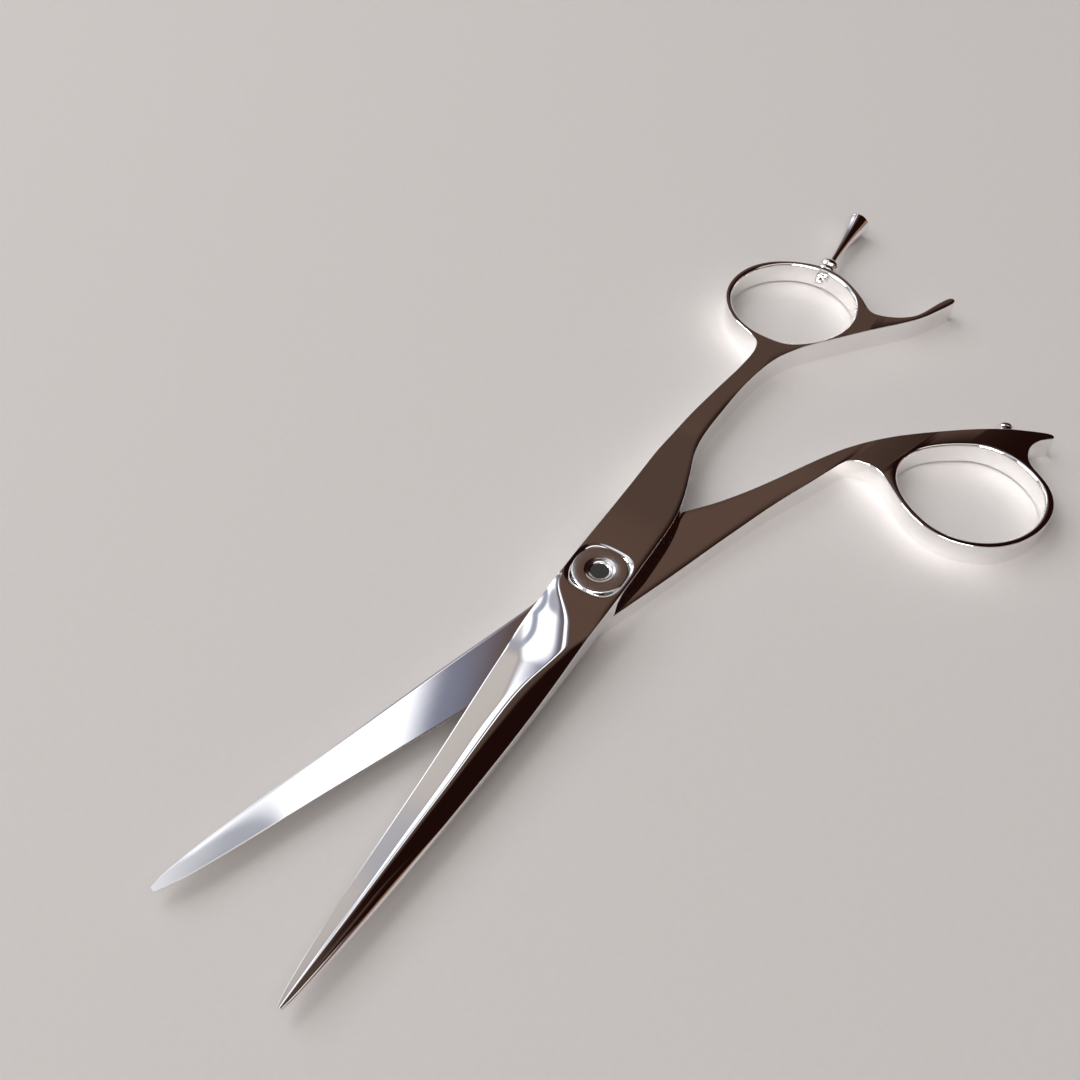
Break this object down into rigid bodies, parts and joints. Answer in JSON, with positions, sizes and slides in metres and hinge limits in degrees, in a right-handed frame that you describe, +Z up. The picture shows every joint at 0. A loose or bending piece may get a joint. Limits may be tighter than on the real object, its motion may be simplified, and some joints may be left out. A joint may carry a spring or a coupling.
{
  "type": "hair cutting shears",
  "caption": "Polished hair cutting shears with finger rings, a curled finger tang, a screw-in finger rest, a stop bumper and a flat adjustable pivot screw.",
  "frame": {"origin": "on the pivot axis, in the plane the shears lie on", "axes": "+X from the pivot towards the blade tips, midway between the two blades; +Z up along the pivot axis, towards the screw head"},
  "size_m": [0.1844, 0.0745, 0.0066],
  "materials": {
    "polished_steel": "mirror polished forged steel with fine buffing haze",
    "polished_steel_lower": "mirror polished forged steel, ground ride face",
    "screw_steel": "polished, faint turning rings",
    "black_insert": "matt black",
    "slip_plastic": "smooth white slip plastic",
    "bronze": "sintered bronze, oiled",
    "plain_steel": "turned and threaded",
    "spring_steel": "blued spring steel",
    "nut_steel": "fine turned face",
    "rest_chrome": "bright plated, turned",
    "bumper_chrome": "bright plated ferrule",
    "bumper_cap": "bright plated rounded cap"
  },
  "bodies": {
    "thumb_side": {"thumb_half": "polished_steel_lower", "pivot_screw": "screw_steel", "screw_plug": "black_insert", "head_washer": "slip_plastic", "ride_washer": "slip_plastic", "nut_washer": "plain_steel", "spring_washer": "spring_steel", "bumper_stud": "plain_steel", "bumper_sleeve": "bumper_chrome", "bumper_pad": "bumper_cap"},
    "finger_side": {"finger_half": "polished_steel", "pivot_bush": "bronze", "rest_stud": "plain_steel", "rest_nut": "rest_chrome", "rest_spacer": "rest_chrome", "rest_collar": "rest_chrome", "rest_trumpet": "rest_chrome"},
    "adjuster": {"tension_nut": "nut_steel"}
  },
  "joints": [
    {"name": "blades", "type": "hinge", "parent": "thumb_side", "child": "finger_side", "pos_m": [0, 0, 0.0033], "axis": [0, 0, 1], "range_deg": [-19, 45]},
    {"name": "tension_turn", "type": "hinge", "parent": "thumb_side", "child": "adjuster", "pos_m": [0, 0, 0.0005], "axis": [0, 0, 1], "range_deg": [-90, 90]}
  ]
}
